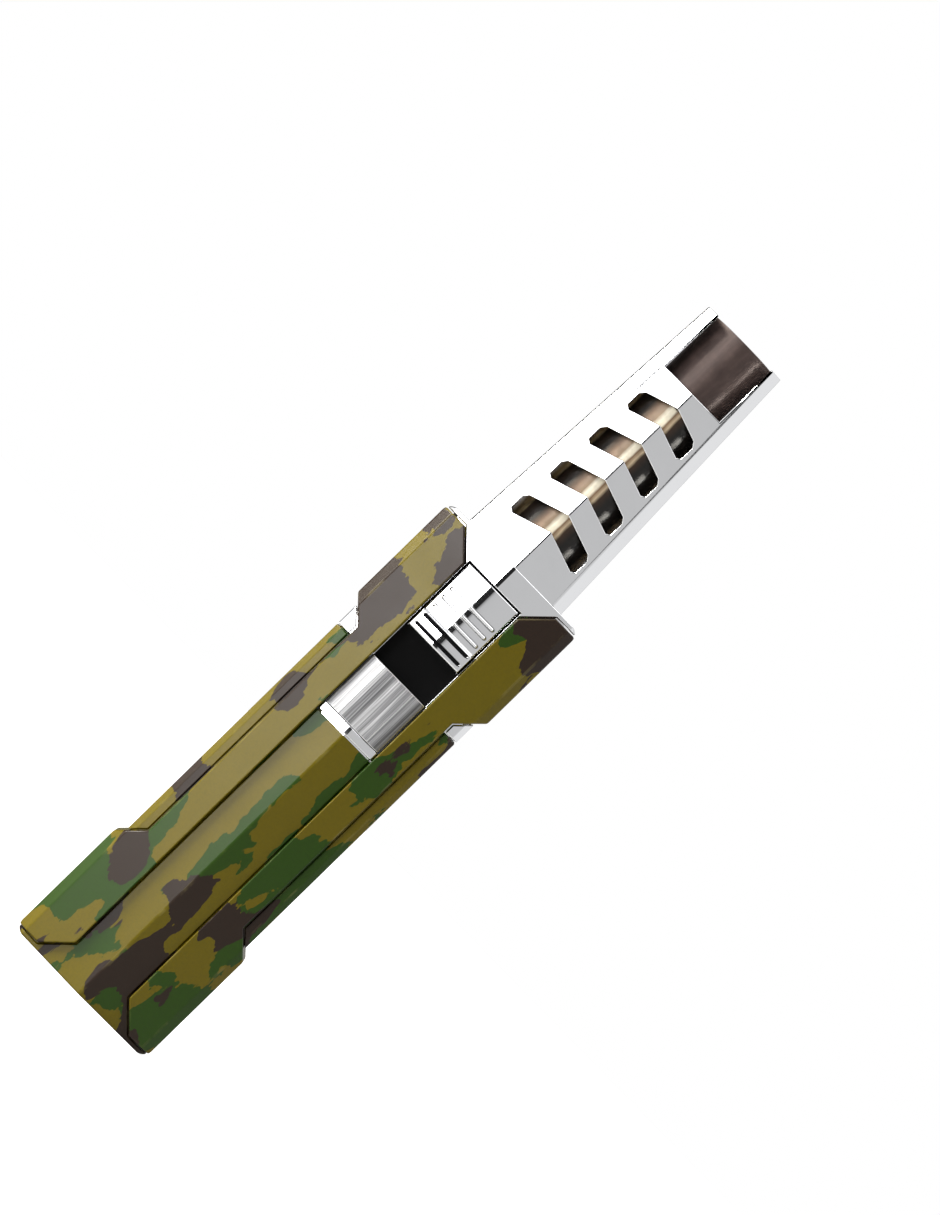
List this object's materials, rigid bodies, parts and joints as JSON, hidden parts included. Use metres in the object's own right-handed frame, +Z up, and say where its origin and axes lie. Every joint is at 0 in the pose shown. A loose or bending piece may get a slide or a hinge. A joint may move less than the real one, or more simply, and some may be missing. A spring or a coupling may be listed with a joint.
{
  "type": "butane torch",
  "caption": "Handheld butane jet torch with side grips, a ridged vented shroud, a thumb slide that lights it, a flame adjuster and a refill valve.",
  "frame": {"origin": "centre of the base that the torch stands on", "axes": "+Z up along the torch from the base to the nozzle, the thumb slide faces -Y, +X to the right seen from the front"},
  "size_m": [0.0308, 0.0253, 0.155],
  "materials": {
    "camo_paint": "semi-gloss woodland print",
    "chrome": "polished",
    "brushed_steel": "brushed lengthwise",
    "bronze": "heat-tinted",
    "heat_brown": "heat-browned, satin",
    "brass": "turned",
    "black_plastic": "matte",
    "white_plastic": "gloss",
    "lead_plastic": "gloss",
    "red_plastic": "gloss",
    "tank_plastic": "translucent",
    "black_rubber": "matte",
    "ceramic": "glazed",
    "felt": "felt",
    "spring_steel": "bright",
    "dark_steel": "blackened"
  },
  "bodies": {
    "handle": {"body_casing": "camo_paint", "left_grip": "camo_paint", "right_grip": "camo_paint", "upper_chassis": "chrome", "front_plate": "brushed_steel", "nozzle_shroud": "chrome", "shroud_screws": "dark_steel", "heat_shield": "bronze", "flame_guard": "heat_brown", "burner_tube": "brass", "burner_disc": "bronze", "burner_base": "brass", "gas_jet": "brass", "gas_hose": "black_rubber", "electrode": "spring_steel", "ceramic_insulator": "ceramic", "ignition_lead": "lead_plastic", "piezo_case": "white_plastic", "plunger_spring": "spring_steel", "hammer_spring": "spring_steel", "piezo_crystal": "ceramic", "piezo_contact": "brass", "lever_pin": "dark_steel", "lever_bracket": "spring_steel", "release_valve": "brass", "valve_spring": "spring_steel", "valve_seal": "black_rubber", "valve_filter": "felt", "fuel_tank": "tank_plastic", "tank_lid": "tank_plastic", "tank_gasket": "black_rubber", "adjuster_seal": "black_rubber", "refill_valve": "brass", "refill_spring": "spring_steel", "refill_seal": "black_rubber", "base_plate": "black_plastic", "base_screws": "dark_steel"},
    "slide_unit": {"thumb_slide": "chrome", "slide_carrier": "black_plastic", "slide_screws": "spring_steel"},
    "igniter_plunger": {"piezo_plunger": "black_plastic"},
    "igniter_hammer": {"piezo_hammer": "dark_steel"},
    "gas_lever_unit": {"gas_lever": "spring_steel"},
    "release_stem": {"valve_stem": "brass"},
    "flame_adjuster": {"adjuster_knob": "red_plastic", "adjuster_shaft": "dark_steel"},
    "refill_stem_unit": {"refill_stem": "brass"}
  },
  "joints": [
    {"name": "slide_press", "type": "slide", "parent": "handle", "child": "slide_unit", "axis": [0, 0, -1], "range_m": [0, 0.006], "stiffness_N_per_m": 800, "springref_m": -0.01},
    {"name": "plunger_press", "type": "slide", "parent": "handle", "child": "igniter_plunger", "axis": [0, 0, -1], "range_m": [0, 0.006], "deforming": ["plunger_spring", "hammer_spring"]},
    {"name": "hammer_strike", "type": "slide", "parent": "handle", "child": "igniter_hammer", "axis": [0, 0, -1], "range_m": [0, 0.0012], "stiffness_N_per_m": 300, "springref_m": -0.001},
    {"name": "lever_rock", "type": "hinge", "parent": "handle", "child": "gas_lever_unit", "pos_m": [0.0056, -0.00264, 0.0716], "axis": [1, 0, 0], "range_deg": [0, 15]},
    {"name": "valve_lift", "type": "slide", "parent": "handle", "child": "release_stem", "axis": [0, 0, 1], "range_m": [0, 0.0012], "deforming": ["valve_spring", "gas_hose"]},
    {"name": "adjuster_turn", "type": "hinge", "parent": "handle", "child": "flame_adjuster", "pos_m": [0.0056, 0.002, 0.002], "axis": [0, 0, 1], "range_deg": [-135, 135]},
    {"name": "refill_press", "type": "slide", "parent": "handle", "child": "refill_stem_unit", "axis": [0, 0, 1], "range_m": [0, 0.0012], "stiffness_N_per_m": 1500, "springref_m": -0.001, "deforming": ["refill_spring"]}
  ],
  "couplings": [
    {"joint": "plunger_press", "follows": "slide_press", "ratio": 1},
    {"joint": "lever_rock", "follows": "slide_press", "rad_per_m": 43.63},
    {"joint": "valve_lift", "follows": "slide_press", "ratio": 0.2}
  ]
}
